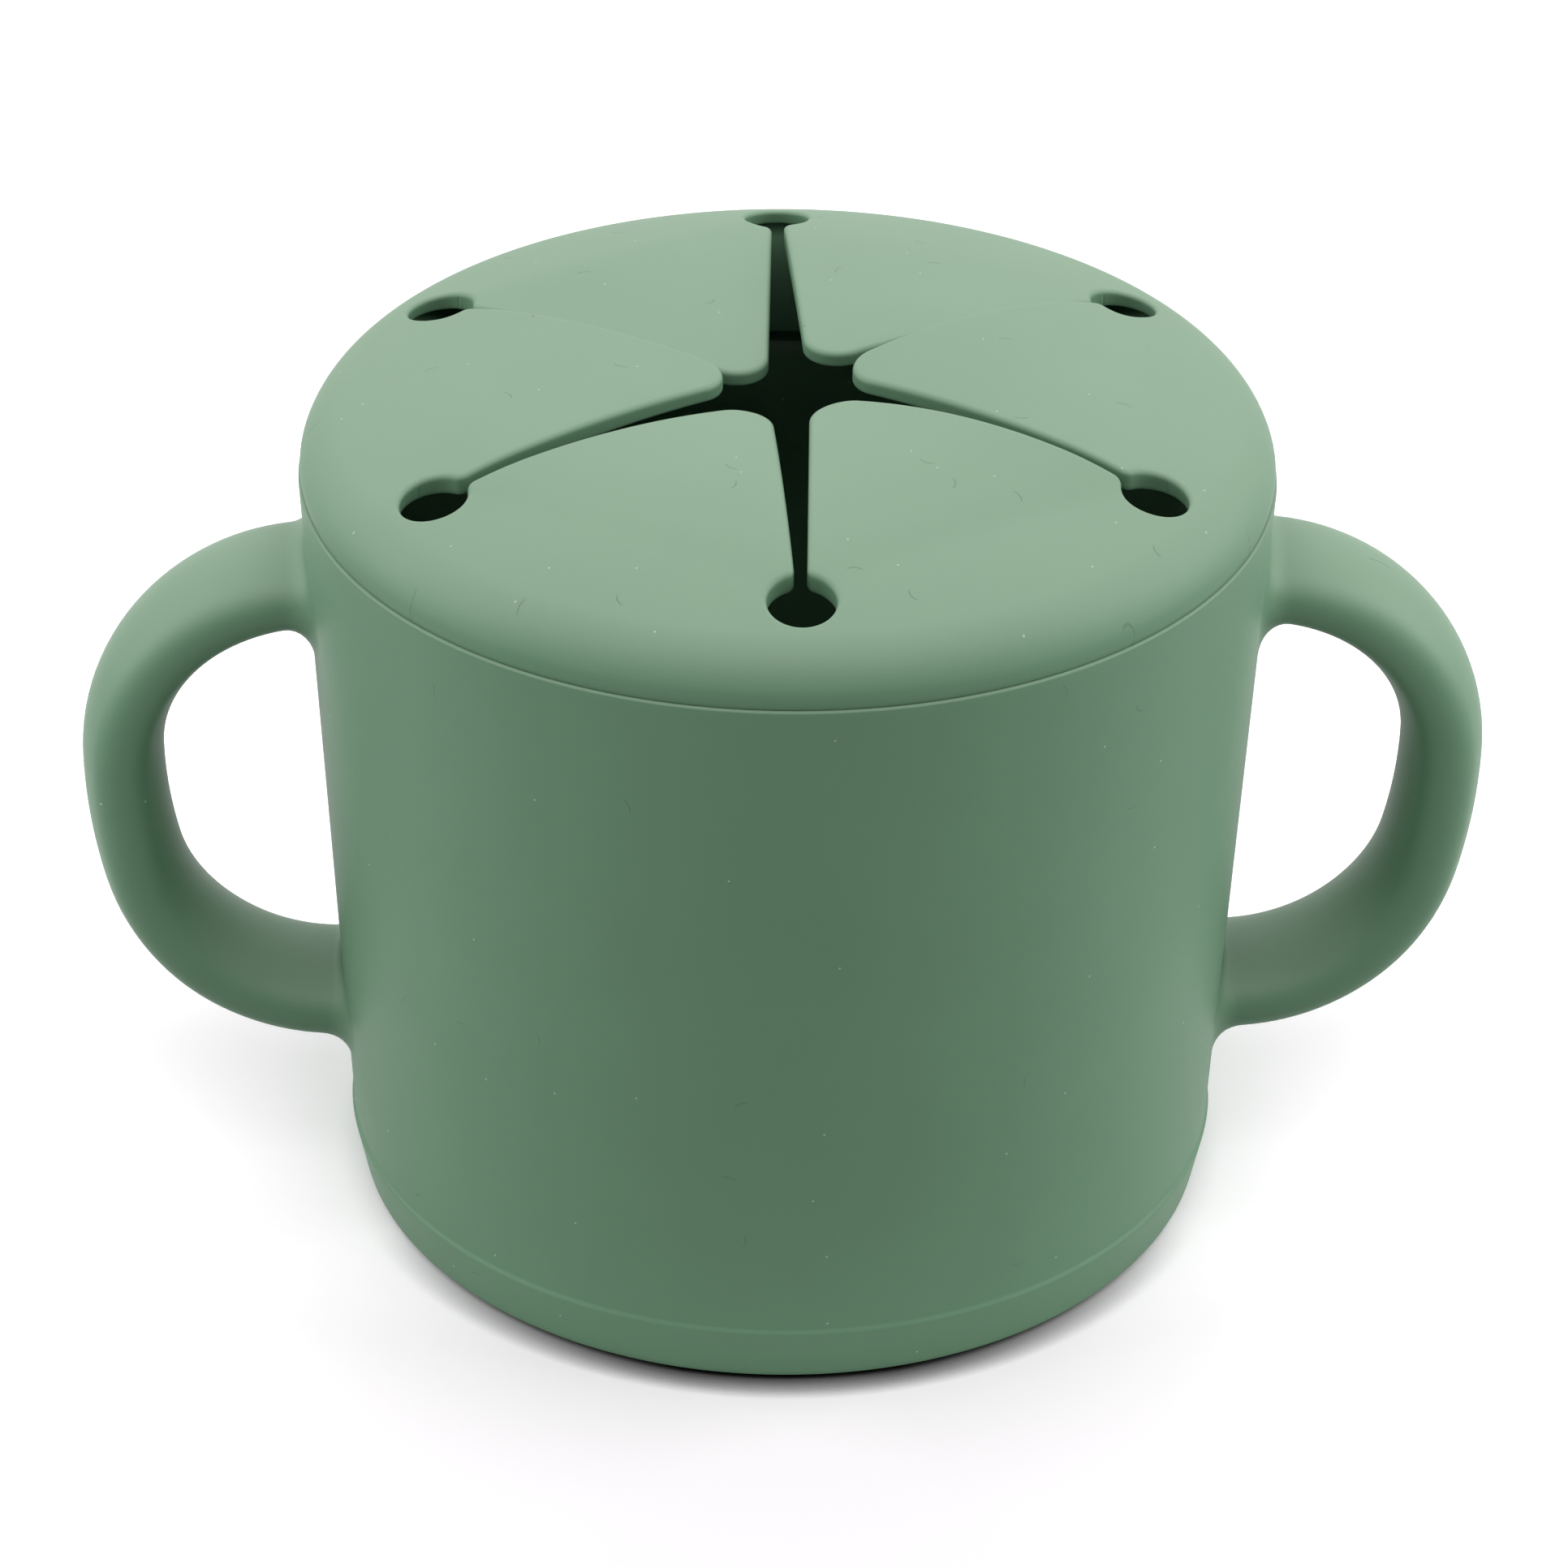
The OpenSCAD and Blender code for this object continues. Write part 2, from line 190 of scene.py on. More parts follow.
def drawn(rows):
    """A skin extruded from row to row; a row gathered in one point closes an end."""
    bm = bmesh.new()
    loop = moved(bmesh.ops.create_circle(bm, segments=len(rows[0]), radius=1)["verts"], rows[0])
    for row in rows[1:]:
        loop = grown(bm, loop, row)
    return bm


def spun(bm, profile, steps):
    """Turns an open profile of (radius, height) about Z, closed where it meets the axis."""
    verts = [bm.verts.new((r, 0, z)) for r, z in profile]
    edges = [bm.edges.new(pair) for pair in zip(verts, verts[1:])]
    full = 2 * math.pi
    bmesh.ops.spin(
        bm, geom=verts + edges, cent=(0, 0, 0), axis=(0, 0, 1), angle=full, steps=steps, use_merge=True
    )
    bmesh.ops.remove_doubles(bm, verts=bm.verts, dist=MERGE_DIST)


def arc(centre, radius, start, end, n):
    """n + 1 points from angle start to angle end, in radians."""
    a = np.linspace(start, end, n + 1)
    return np.column_stack([centre[0] + radius * np.cos(a), centre[1] + radius * np.sin(a)])


def line(a, b, n):
    """n + 1 evenly spaced points from a to b."""
    t = np.linspace(0, 1, n + 1)[:, None]
    return np.asarray(a, float) * (1 - t) + np.asarray(b, float) * t


def joined(*runs):
    """Runs of points as one run, without the repeated ends."""
    return np.vstack([r[:-1] for r in runs[:-1]] + [runs[-1]])


def distance_to(points, run):
    """Distance in plan from each point to a run of points."""
    a, ab = run[:-1], run[1:] - run[:-1]
    best = np.full(len(points), 1e9)
    for k in range(len(a)):
        t = np.clip((points - a[k]) @ ab[k] / max(ab[k] @ ab[k], 1e-12), 0, 1)
        best = np.minimum(best, np.linalg.norm(points - a[k] - t[:, None] * ab[k], axis=1))
    return best


def rounded(d, e):
    """How far a surface falls at distance d from an edge that is rounded with radius e."""
    q = np.clip(1 - d / e, 0, 1)
    return e * (1 - np.sqrt(np.maximum(1 - q * q, 0)))


def edge_insets(e, n):
    """Distances from a rounded edge at which its rounding is drawn well."""
    return [e * (1 - math.cos(math.pi / 2 * k / n)) for k in range(n + 1)]


def turned(points, angle):
    """Points in plan, turned about the axis."""
    c, s = math.cos(angle), math.sin(angle)
    return np.column_stack([points[:, 0] * c - points[:, 1] * s, points[:, 0] * s + points[:, 1] * c])


# ---------------------------------------------------------------- lid: ring and six petals
def seam_end(inset):
    """Angle at a relief hole, grown by inset, at which it meets the seam moved into the petal by inset."""
    size = RELIEF_R + abs(inset)
    angle = -math.acos((SEAM_U - inset - CHORD_U) / size)
    return angle, CHORD_V + size * math.sin(angle)


def seam_line(inset):
    """The seam from its upper to its lower end, its points closer together at both ends."""
    t = (1 - np.cos(np.linspace(0, math.pi, SEAM_STEPS + 1))) / 2
    return np.column_stack([np.full(len(t), SEAM_U - inset), seam_end(inset)[1] * (1 - 2 * t)])


def petal_half_edge(inset=0.0):
    """The free edge of a petal's upper half, from the tip round to the seam, moved in by inset."""
    up = math.pi / 2 + EDGE_TILT
    to_hole = HOLE - CORNER
    corner_end = math.atan2(to_hole[1], to_hole[0])
    hole_start = math.atan2(-to_hole[1], -to_hole[0])
    shift = inset * INTO
    return joined(
        arc(TIP, TIP_ROUND - inset, math.pi, up, 18),
        line(TIP - TIP_ROUND * INTO + shift, CORNER - CORNER_BLEND * INTO + shift, 54),
        arc(CORNER, CORNER_BLEND - inset, up, corner_end, 10),
        arc(HOLE, RELIEF_R + inset, hole_start, seam_end(inset)[0], HOLE_STEPS),
    )


def petal_loop(inset):
    """A petal's whole outline, from the tip round and back, moved in by inset."""
    half = petal_half_edge(inset)
    return np.vstack([half, seam_line(inset)[1:], (half * [1, -1])[::-1][1:-1]])


def edge_distance(plan):
    """Distance in a petal's own plan to its nearest free edge, the relief holes as true circles."""
    half = petal_half_edge()[:-HOLE_STEPS]
    return np.minimum.reduce(
        [
            distance_to(plan, half),
            distance_to(plan, half * [1, -1]),
            np.abs(np.linalg.norm(plan - HOLE, axis=1) - RELIEF_R),
            np.abs(np.linalg.norm(plan - HOLE * [1, -1], axis=1) - RELIEF_R),
        ]
    )


def settled(plan, tip_rise, bulge, twist, tip_in):
    """How far a soft petal has moved from its moulded shape, as (inwards, upwards), in millimetres."""
    bend_start = SEAM_U - SETTLE_IN
    bend = bend_start - BEND_END_U
    t = np.clip((bend_start - plan[:, 0]) / bend, 0, 1)
    # Its slope grows over the bend and then stays: the integral of a smoothstep, then a straight line
    run = bend * (t**3 - t**4 / 2) + np.maximum(BEND_END_U - plan[:, 0], 0)
    share = run / (bend / 2 + BEND_END_U - (TIP[0] - TIP_ROUND))
    up = tip_rise * share + bulge * 4 * share * (1 - share) + twist * plan[:, 1] * share
    return tip_in * share, up


def petal_form():
    """A petal as moulded, along +X: rounded free edges, the dome's top and its underside."""
    middle = np.array([24.0, 0.0])

    def plan_rings(edge, n_edge, n_inner):
        """Outlines from the edge inwards: over the rounding, then shrinking to the middle."""
        out = [petal_loop(d) for d in edge_insets(edge, n_edge)]
        last = out[-1]
        return out + [last * (1 - k / n_inner) + middle * k / n_inner for k in range(1, n_inner)]

    def top(plan):
        return top_z(np.linalg.norm(plan, axis=1)) - rounded(edge_distance(plan), EDGE_TOP)

    def low(plan):
        return under_z(np.linalg.norm(plan, axis=1)) + rounded(edge_distance(plan), EDGE_LOW)

    loop = petal_loop(0)
    side_low, side_top = low(loop), top(loop)
    pole = np.tile(middle, (len(loop), 1))
    rows = [(ring, low(ring)) for ring in [pole] + plan_rings(EDGE_LOW, LOW_EDGE_ROWS, 16)[::-1]]
    rows += [(loop, side_low * (1 - t) + side_top * t) for t in SIDE_ROWS]
    rows += [(ring, top(ring)) for ring in plan_rings(EDGE_TOP, TOP_EDGE_ROWS, 26) + [pole]]
    return drawn([np.column_stack(row) for row in rows])


def petal_mesh(name, form, index, settling):
    """The moulded petal, settled as soft silicone does, and turned to its place in the ring."""
    bm = form.copy()
    inwards, up = settled(np.array([v.co[:2] for v in bm.verts]), *settling)
    for vertex, x, z in zip(bm.verts, inwards, up):
        vertex.co += Vector((-x, 0, z))
    bmesh.ops.rotate(bm, cent=(0, 0, 0), matrix=Matrix.Rotation(index * 2 * HALF, 3, "Z"), verts=bm.verts)
    return finished(name, bm)


def ring_mesh(name):
    """The lid's ring: skin outside the petals, rolled shoulder, plug with sealing ribs, and underside."""
    first_hole = np.array([[RELIEF_CIRCLE_R, 0.0]])
    holes = np.vstack([turned(first_hole, HALF + i * 2 * HALF) for i in range(6)])

    def hole_distance(plan):
        """Distance in plan to the nearest relief hole's edge."""
        return np.abs(np.linalg.norm(plan[:, None] - holes[None], axis=2).min(1) - RELIEF_R)

    def inner_loop(inset):
        """The ring's inner boundary, moved outwards by inset."""
        start = seam_end(-inset)[0]
        seam = seam_line(-inset)[::-1]
        hole = arc(HOLE, RELIEF_R + inset, start, 2 * HALF - start, RING_HOLE_STEPS)
        part = np.vstack([seam[:-1], hole[:-1]])
        return np.vstack([turned(part, i * 2 * HALF) for i in range(6)])

    seam = seam_line(0)[::-1]
    end = math.atan2(seam[-1, 1], seam[-1, 0])
    over_hole = end + (2 * HALF - 2 * end) * np.arange(RING_HOLE_STEPS) / RING_HOLE_STEPS
    part = np.append(np.arctan2(seam[:-1, 1], seam[:-1, 0]), over_hole)
    angle = np.concatenate([part + i * 2 * HALF for i in range(6)])

    def circle(r):
        return np.column_stack([r * np.cos(angle), r * np.sin(angle)])

    def top(plan):
        return top_z(np.linalg.norm(plan, axis=1)) - rounded(hole_distance(plan), EDGE_TOP)

    def low(plan):
        return under_z(np.linalg.norm(plan, axis=1)) + rounded(hole_distance(plan), EDGE_LOW)

    top_rings = [inner_loop(d) for d in edge_insets(EDGE_TOP, TOP_EDGE_ROWS)]
    top_rings += [top_rings[-1] * (1 - k / 8) + circle(SHOULDER_EDGE_R) * k / 8 for k in range(1, 9)]
    rows = [(ring, top(ring)) for ring in top_rings]
    rib_mid = MOUTH_R - SEAL_GAP - RIB_R
    plug_r = rib_mid + RIB_CLEAR * RIB_R
    bore_r = plug_r - PLUG_T
    # Down the shoulder, in under the skirt, along the plug with its ribs, and up the plug's bore
    h = np.linspace(TUCK_H, 0, 16)
    skirt_r = SHOULDER_X + np.sqrt(SHOULDER_ROUND**2 - h**2) - TUCK * (1 - h / TUCK_H) ** 2
    profile = joined(
        arc((SHOULDER_X, RIM_Z), SHOULDER_ROUND, SHOULDER_TILT, math.asin(TUCK_H / SHOULDER_ROUND), 22),
        np.column_stack([skirt_r, RIM_Z + h]),
        line((RIM_R - TUCK, RIM_Z), (plug_r, RIM_Z), 4),
    )[1:]
    rib_turn = math.acos((plug_r - rib_mid) / RIB_R)
    for share in RIB_PLACES:
        rib = arc((rib_mid, RIM_Z - share * PLUG_LEN), RIB_R, rib_turn, -rib_turn, 8)
        profile = np.vstack([profile, rib])
    round_z = RIM_Z - PLUG_LEN + BREAK_ROUND
    profile = np.vstack(
        [
            profile,
            arc((plug_r - BREAK_ROUND, round_z), BREAK_ROUND, 0, -math.pi / 2, 4),
            arc((bore_r + BREAK_ROUND, round_z), BREAK_ROUND, -math.pi / 2, -math.pi, 4),
            line((bore_r, round_z), (bore_r, float(under_z(bore_r))), 8)[1:],
        ]
    )
    rows += [(circle(r), np.full(len(angle), z)) for r, z in profile]
    low_rings = [inner_loop(d) for d in edge_insets(EDGE_LOW, LOW_EDGE_ROWS)]
    rings = [circle(bore_r) * (1 - k / 6) + low_rings[-1] * k / 6 for k in range(1, 6)] + low_rings[::-1]
    rows += [(ring, low(ring)) for ring in rings]
    inner, side_low, side_top = rings[-1], rows[-1][1], rows[0][1]
    rows += [(inner, side_low * (1 - t) + side_top * t) for t in SIDE_ROWS]
    return finished(name, drawn([np.column_stack(row) for row in rows + rows[:1]]))


# ---------------------------------------------------------------- cup and handles, one moulding
# A handle's centre line: arcs as (centre, radius, start angle, end angle)
_top_r = HANDLE_TOP_Z - GRIP_Z
HANDLE_ARCS = [(np.array([HANDLE_REACH - _top_r, GRIP_Z]), _top_r, math.pi / 2, 0.0)]
_sweep_r = (GRIP_Z - HANDLE_LOW_Z - CORNER_ROUND * (1 - math.sin(SWEEP_TURN))) / math.sin(SWEEP_TURN)
HANDLE_ARCS.append((np.array([HANDLE_REACH - _sweep_r, GRIP_Z]), _sweep_r, 0.0, -SWEEP_TURN))
_corner = np.array(
    [
        HANDLE_REACH - _sweep_r + (_sweep_r - CORNER_ROUND) * math.cos(SWEEP_TURN),
        GRIP_Z - (_sweep_r - CORNER_ROUND) * math.sin(SWEEP_TURN),
    ]
)
HANDLE_ARCS.append((_corner, CORNER_ROUND, -SWEEP_TURN, -math.pi / 2))
HANDLE_LENGTH = sum(r * (a - b) for _, r, a, b in HANDLE_ARCS)


def handle_path(s):
    """Centre line of a handle in the XZ plane at length s, and the way out from the finger side."""
    if s < 0:
        c, r, _, _ = HANDLE_ARCS[0]
        return c + [s, r], np.array([0.0, 1.0])
    for c, r, a, b in HANDLE_ARCS:
        length = r * (a - b)
        if s <= length:
            t = a - s / r
            n = np.array([math.cos(t), math.sin(t)])
            return c + r * n, n
        s -= length
    c, r, _, _ = HANDLE_ARCS[-1]
    return c + [-s, -r], np.array([0.0, -1.0])


def grip_section(angles):
    """Points and outward directions of the oval section, (across, outwards), at the given angles."""
    edge_y = HANDLE_W / 2 - GRIP_EDGE_R
    side_r = (edge_y**2 + (HANDLE_T / 2) ** 2 - GRIP_EDGE_R**2) / (HANDLE_T - 2 * GRIP_EDGE_R)
    side_x = side_r - HANDLE_T / 2
    turn = math.atan2(side_x, edge_y)
    right = arc((edge_y, 0), GRIP_EDGE_R, -turn, turn, 60)
    top = arc((0, -side_x), side_r, turn, math.pi - turn, 200)
    right_way = (right - [edge_y, 0]) / GRIP_EDGE_R
    top_way = (top + [0, side_x]) / side_r
    run = np.vstack([right, top[1:], -right[1:], -top[1:-1]])
    way = np.vstack([right_way, top_way[1:], -right_way[1:], -top_way[1:-1]])
    a = np.unwrap(np.arctan2(run[:, 1] / (HANDLE_T / 2), run[:, 0] / (HANDLE_W / 2)))
    a = np.append(a, a[0] + 2 * math.pi)
    run, way = np.vstack([run, run[:1]]), np.vstack([way, way[:1]])
    want = (np.asarray(angles) - a[0]) % (2 * math.pi) + a[0]
    points = np.column_stack([np.interp(want, a, run[:, k]) for k in (0, 1)])
    normals = np.column_stack([np.interp(want, a, way[:, k]) for k in (0, 1)])
    return points, normals / np.linalg.norm(normals, axis=1)[:, None]


def tube_point(s, across, out):
    """A point of the grip's skin at length s, from its place in the section."""
    c, n = handle_path(s)
    return np.array([c[0] + out * n[0], across, c[1] + out * n[1]])


def beyond_wall(s, across, out):
    """How far a point of the grip's skin is outside the cup's wall."""
    x, y, z = tube_point(s, across, out)
    return math.hypot(x, y) - wall_r(z)


def wall_hit(across, out, low_end):
    """Length along the handle at which a line of its skin leaves the cup's wall, found by halving."""
    inside, outside = (HANDLE_LENGTH + 12, HANDLE_LENGTH - 6) if low_end else (-12, 12)
    for _ in range(44):
        mid = (inside + outside) / 2
        if beyond_wall(mid, across, out) < 0:
            inside = mid
        else:
            outside = mid
    return (inside + outside) / 2


def fillet_size(out_part, low_end):
    """Fillet radius round a handle's root: finger side, flanks and outer side differ."""
    finger, flank, outer = LOW_FILLETS if low_end else TOP_FILLETS
    w = out_part**2
    return flank * (1 - w) + (outer if out_part > 0 else finger) * w


def cup_profile():
    """The cup's half section, from the middle of the base round the rim to the middle of the floor."""
    # The parting line: below it the foot stands out by the lip, and the wall flares out to meet it
    lip_r = HEEL_R + LIP
    foot_lean = math.atan((lip_r - FOOT_R) / HEEL_Z)
    foot_mid = (FOOT_R - FOOT_ROUND * math.tan(math.pi / 4 - foot_lean / 2), FOOT_ROUND)
    foot_turn = arc(foot_mid, FOOT_ROUND, -math.pi / 2, -foot_lean, 9)
    heel = (lip_r - LIP_UNDER * math.tan(foot_lean), HEEL_Z - LIP_UNDER)
    foot = joined(
        np.array([(0, 0), (MIDDLE_R, 0)]),
        line((MIDDLE_R, 0), (foot_mid[0], 0), 12),
        foot_turn,
        line(foot_turn[-1], heel, 6),
    )
    lip_z = HEEL_Z + LIP_OVER + np.linspace(0, LIP_H, 8)
    flare = LIP * (1 + np.cos(np.linspace(0, math.pi, 8))) / 2
    low_wall = [(wall_r(z), z) for z in LOW_WALL_ROWS]
    lip = np.vstack([np.column_stack([wall_r(lip_z) + flare, lip_z]), low_wall])
    # The wall, with evenly spaced rows where the handles' windows are
    low, high = HANDLE_LOW_Z, HANDLE_TOP_Z
    wall_z = np.concatenate(
        [
            np.linspace(low - WINDOW_RISE, low + WINDOW_RISE, 13),
            np.linspace(low + WINDOW_RISE, high - WINDOW_RISE, 19)[1:-1],
            np.linspace(high - WINDOW_RISE, high + WINDOW_RISE, 13),
            HIGH_WALL_ROWS,
        ]
    )
    wall = np.column_stack([wall_r(wall_z), wall_z])
    taper = math.atan((RIM_R - HEEL_R) / (RIM_Z - HEEL_Z))
    in_wall = WALL_T / math.cos(taper)
    ledge_r = wall_r(MOUTH_Z) - in_wall
    floor_r = wall_r(FLOOR_T) - in_wall
    lean = math.atan((ledge_r - floor_r) / (MOUTH_Z - FLOOR_T))
    floor_mid = (floor_r - FLOOR_ROUND * math.tan(math.pi / 4 - lean / 2), FLOOR_T + FLOOR_ROUND)
    floor_turn = arc(floor_mid, FLOOR_ROUND, -lean, -math.pi / 2, 14)
    inside = joined(
        arc((RIM_R - RIM_ROUND, RIM_Z - RIM_ROUND), RIM_ROUND, 0, math.pi / 2, 5),
        line((RIM_R - RIM_ROUND, RIM_Z), (MOUTH_R + BREAK_ROUND, RIM_Z), 3),
        arc((MOUTH_R + BREAK_ROUND, RIM_Z - BREAK_ROUND), BREAK_ROUND, math.pi / 2, math.pi, 4),
        line((MOUTH_R, RIM_Z - BREAK_ROUND), (MOUTH_R, MOUTH_Z), 6),
        line((MOUTH_R, MOUTH_Z), (ledge_r, MOUTH_Z), 2),
        line((ledge_r, MOUTH_Z), floor_turn[0], 24),
        floor_turn,
        line((floor_mid[0], FLOOR_T), (MIDDLE_R, FLOOR_T), 12),
    )
    return np.vstack([foot, lip, wall, inside, [(0, FLOOR_T)]])


def open_wall(bm, low_end):
    """Cuts the windows that both handles grow out of at one end.

    Gives the corners of the window on the +X side, their turns and rises from its middle, and their angles.
    """
    centre_z, flip = (HANDLE_LOW_Z, -1) if low_end else (HANDLE_TOP_Z, 1)

    def offset(co):
        return math.atan(co.y / max(co.x, 1e-6)), co.z - centre_z

    def within(co, margin):
        turn, rise = offset(Vector((abs(co.x), co.y, co.z)))
        near = abs(turn) < WINDOW_TURN + margin and abs(rise) < WINDOW_RISE + margin
        return near and math.hypot(co.x, co.y) > wall_r(co.z) - WALL_T / 2

    def angle(vertex):
        turn, rise = offset(vertex.co)
        slack = 0.001
        return (math.atan2(flip * rise / WINDOW_RISE, turn / WINDOW_TURN) + slack) % (2 * math.pi) - slack

    cut = [face for face in bm.faces if within(face.calc_center_median(), 0)]
    bmesh.ops.delete(bm, geom=cut, context="FACES")
    rim = [v for v in bm.verts if v.is_boundary and v.co.x > 0 and within(v.co, 0.01)]
    rim.sort(key=angle)
    return [v.co.copy() for v in rim], np.array([offset(v.co) for v in rim]), [angle(v) for v in rim]


def handle_root(window, low_end):
    """Rows of a handle's flared root, outwards from its window in the wall.

    Gives them with the grip's section and the lengths along the handle at which the grip begins.
    """
    sign, centre_z = (-1, HANDLE_LOW_Z) if low_end else (1, HANDLE_TOP_Z)
    corners, plan, angles = window
    section, normal = grip_section(angles)
    size = np.array([fillet_size(n[1], low_end) for n in normal])
    flare = []
    for psi in np.linspace(0, math.pi / 2, 9):
        oval = section + (size * (1 - math.sin(psi)))[:, None] * normal
        away = sign * size * (1 - math.cos(psi))
        at = [wall_hit(x, y, low_end) + d for (x, y), d in zip(oval, away)]
        flare.append([tube_point(s, x, y) for s, (x, y) in zip(at, oval)])
    # The wall between the window and the foot of the flare
    foot = np.array([(math.atan2(p[1], p[0]), p[2] - centre_z) for p in flare[0]])
    rows = [corners]
    for k in range(1, 7):
        turn, rise = (plan * (1 - k / 7) + foot * k / 7).T
        r, z = wall_r(centre_z + rise), centre_z + rise
        rows.append(np.column_stack([r * np.cos(turn), r * np.sin(turn), z]))
    return rows + flare, section, np.array(at)


def cup_mesh(name):
    """The cup: a turned body, and two handles drawn out of windows in its wall."""
    bm = bmesh.new()
    spun(bm, cup_profile(), COLUMNS)
    windows = {low_end: open_wall(bm, low_end) for low_end in (False, True)}
    rows, section, at = handle_root(windows[False], False)
    low_rows, _, low_at = handle_root(windows[True], True)
    for t in np.linspace(0, 1, GRIP_STEPS + 1)[1:-1]:
        rows.append([tube_point(s, x, y) for s, (x, y) in zip(at * (1 - t) + low_at * t, section)])
    handle = drawn(rows + low_rows[::-1])
    right_handle = bpy.data.meshes.new("handle")
    handle.to_mesh(right_handle)
    handle.free()
    bm.from_mesh(right_handle)
    bmesh.ops.rotate(bm, cent=(0, 0, 0), matrix=Matrix.Rotation(math.pi, 3, "Z"), verts=bm.verts)
    bm.from_mesh(right_handle)
    bpy.data.meshes.remove(right_handle)
    return finished(name, bm)


# ---------------------------------------------------------------- materials
def linear(hex_colour):
    """Linear red, green and blue, with alpha 1, of an sRGB hex colour."""
    values = [int(hex_colour[i : i + 2], 16) / 255 for i in (0, 2, 4)]
    return tuple(v / 12.92 if v <= 0.04045 else ((v + 0.055) / 1.055) ** 2.4 for v in values) + (1.0,)


def node(tree, kind, inputs=(), **settings):
    """Adds a node at the end of the row, sets its settings, and fills its inputs with values or links.

    A node among the inputs stands for its first output.
    """
    made = tree.nodes.new(kind)
    made.location = (NODE_STEP * len(tree.nodes), 0)
    for key, value in settings.items():
        setattr(made, key, value)
    for key, value in dict(inputs).items():
        if isinstance(value, bpy.types.Node):
            value = value.outputs[0]
        if isinstance(value, bpy.types.NodeSocket):
            tree.links.new(value, made.inputs[key])
        else:
            made.inputs[key].default_value = value
    return made


def falling(value, full, none):
    """Inputs of a Map Range: 1 up to the value full, falling to 0 at the value none."""
    return {"Value": value, "From Min": full, "From Max": none, "To Min": 1.0, "To Max": 0.0}


def per_metre(size):
    """Scale of a pattern whose features are of a size in millimetres."""
    return 1 / (size * MM)


def scattered(tree, plane, cell):
    """Cells of a size in millimetres, strewn over a plane, and the random numbers of each."""
    strewn = {"Vector": plane, "Scale": per_metre(cell)}
    cells = node(tree, "ShaderNodeTexVoronoi", strewn, voronoi_dimensions="2D").outputs
    random = node(tree, "ShaderNodeSeparateColor", {"Color": cells["Color"]}).outputs
    return cells, random


def lint(tree, plane, cell, chance):
    """Round specks of dust 0.2 mm across, one in some of the cells."""
    cells, random = scattered(tree, plane, cell)
    edge = falling(cells["Distance"], 0.05 / cell, 0.14 / cell)
    speck = node(tree, "ShaderNodeMapRange", edge, interpolation_type="SMOOTHSTEP")
    chosen = node(tree, "ShaderNodeMath", {0: random[0], 1: chance}, operation="LESS_THAN")
    return node(tree, "ShaderNodeMath", {0: speck, 1: chosen}, operation="MULTIPLY")


def fibres(tree, plane, cell, chance):
    """Curved marks of fine fibres, 1.5 mm long and 0.1 mm wide, one in some of the cells."""
    cells, random = scattered(tree, plane, cell)
    local = node(tree, "ShaderNodeVectorMath", {0: plane, 1: cells["Position"]}, operation="SUBTRACT")
    # Each fibre lies its own way round, and bows by 0.25 mm over its length
    turn = node(tree, "ShaderNodeMath", {0: random[1], 1: 2 * math.pi}, operation="MULTIPLY")
    laid = node(tree, "ShaderNodeVectorRotate", {"Vector": local, "Angle": turn}, rotation_type="Z_AXIS")
    spot = node(tree, "ShaderNodeSeparateXYZ", {0: laid}).outputs
    square = node(tree, "ShaderNodeMath", {0: spot[0], 1: 2.0}, operation="POWER")
    bow = node(tree, "ShaderNodeMath", {0: square, 1: 0.45 / MM}, operation="MULTIPLY")
    aside = node(tree, "ShaderNodeMath", {0: spot[1], 1: bow}, operation="SUBTRACT")
    aside = node(tree, "ShaderNodeMath", {0: aside}, operation="ABSOLUTE")
    along = node(tree, "ShaderNodeMath", {0: spot[0]}, operation="ABSOLUTE")
    wide, long = falling(aside, 0.03 * MM, 0.09 * MM), falling(along, 0.5 * MM, 0.8 * MM)
    width = node(tree, "ShaderNodeMapRange", wide, interpolation_type="SMOOTHSTEP")
    length = node(tree, "ShaderNodeMapRange", long, interpolation_type="SMOOTHSTEP")
    body = node(tree, "ShaderNodeMath", {0: width, 1: length}, operation="MULTIPLY")
    chosen = node(tree, "ShaderNodeMath", {0: random[0], 1: chance}, operation="LESS_THAN")
    return node(tree, "ShaderNodeMath", {0: body, 1: chosen}, operation="MULTIPLY")


def seen_rays(tree):
    """1 for what is seen, straight, reflected or through something clear, and 0 for the light it gives."""
    rays = node(tree, "ShaderNodeLightPath").outputs
    straight, reflected, clear = rays["Is Camera Ray"], rays["Is Glossy Ray"], rays["Is Transmission Ray"]
    seen = node(tree, "ShaderNodeMath", {0: straight, 1: reflected}, operation="ADD")
    return node(tree, "ShaderNodeMath", {0: seen, 1: clear}, operation="ADD")


def scaled(colour, factor):
    """A colour made darker or lighter."""
    return tuple(min(1.0, c * factor) for c in colour[:3]) + (1.0,)


